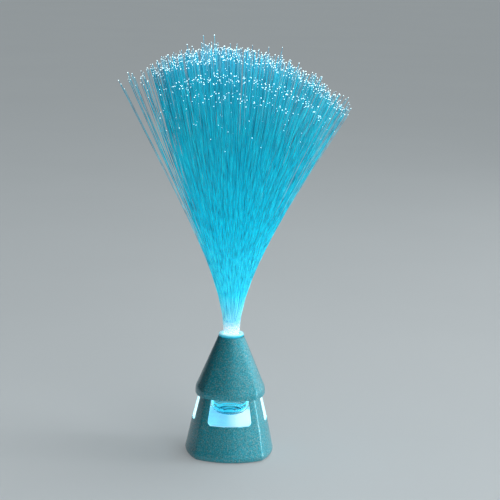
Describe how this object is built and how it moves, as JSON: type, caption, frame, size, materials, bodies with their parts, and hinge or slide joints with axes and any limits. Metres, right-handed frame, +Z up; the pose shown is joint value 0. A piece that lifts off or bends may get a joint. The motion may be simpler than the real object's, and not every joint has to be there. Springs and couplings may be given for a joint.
{
  "type": "fiber optic lamp",
  "caption": "Battery fiber optic lamp: tapered windowed base, cone cover, glowing collar and a plug-in fan of optical fibres, with slide switch and hinged battery door.",
  "frame": {"origin": "on the floor, under the upright axis of the lamp", "axes": "+Z up the lamp to the tips of the fibres, -Y to the front window, +X to the right seen from the front"},
  "size_m": [0.1868, 0.1713, 0.3482],
  "materials": {
    "silver_paint": "satin metallic paint",
    "clear": "clear",
    "glow_clear": "clear, lit from inside",
    "fibre": "clear fibre, lit",
    "ferrule": "satin",
    "tray": "matte, lit",
    "white": "satin",
    "black": "fine grain",
    "board": "satin",
    "light": "clear, lit",
    "steel": "plated",
    "rubber": "matte",
    "cell": "plain sleeve",
    "red": "gloss"
  },
  "bodies": {
    "housing": {"lower_housing": "silver_paint", "upper_cone": "silver_paint", "collar_ring": "glow_clear", "window_pane_front": "clear", "window_pane_rear": "clear", "window_pane_left": "clear", "window_pane_right": "clear", "light_tray": "tray", "lens": "clear", "lens_holder": "white", "led_board": "board", "fibre_led": "light", "chamber_led": "light", "bundle_socket": "black", "bottom_cover": "black", "battery_cell_1": "cell", "battery_cell_2": "cell", "battery_cell_3": "cell", "contact_plate_1": "steel", "contact_plate_2": "steel", "contact_plate_3": "steel", "contact_spring_1": "steel", "contact_spring_2": "steel", "contact_spring_3": "steel", "switch_body": "black", "foot_pad_1": "rubber", "foot_pad_2": "rubber", "foot_pad_3": "rubber", "foot_pad_4": "rubber", "housing_screw_1": "steel", "housing_screw_2": "steel", "housing_screw_3": "steel", "housing_screw_4": "steel", "wire_red": "red", "wire_black": "black"},
    "fibre_bundle": {"fibre_ferrule": "ferrule", "bundle_core": "glow_clear", "fibre_spray": "fibre"},
    "switch_knob": {"switch_knob": "white"},
    "battery_door": {"battery_door": "black"},
    "door_screw": {"door_screw": "steel"}
  },
  "joints": [
    {"name": "fibre_bundle_plug", "type": "slide", "parent": "housing", "child": "fibre_bundle", "axis": [0, 0, 1], "range_m": [0, 0.024]},
    {"name": "switch_slide", "type": "slide", "parent": "housing", "child": "switch_knob", "axis": [1, 0, 0], "range_m": [0, 0.003]},
    {"name": "battery_door_hinge", "type": "hinge", "parent": "housing", "child": "battery_door", "pos_m": [0, 0.01594, 0.0033], "axis": [1, 0, 0], "range_deg": [0, 90]},
    {"name": "door_screw_slide", "type": "slide", "parent": "battery_door", "child": "door_screw", "axis": [0, 0, -1], "range_m": [0, 0.004]}
  ]
}
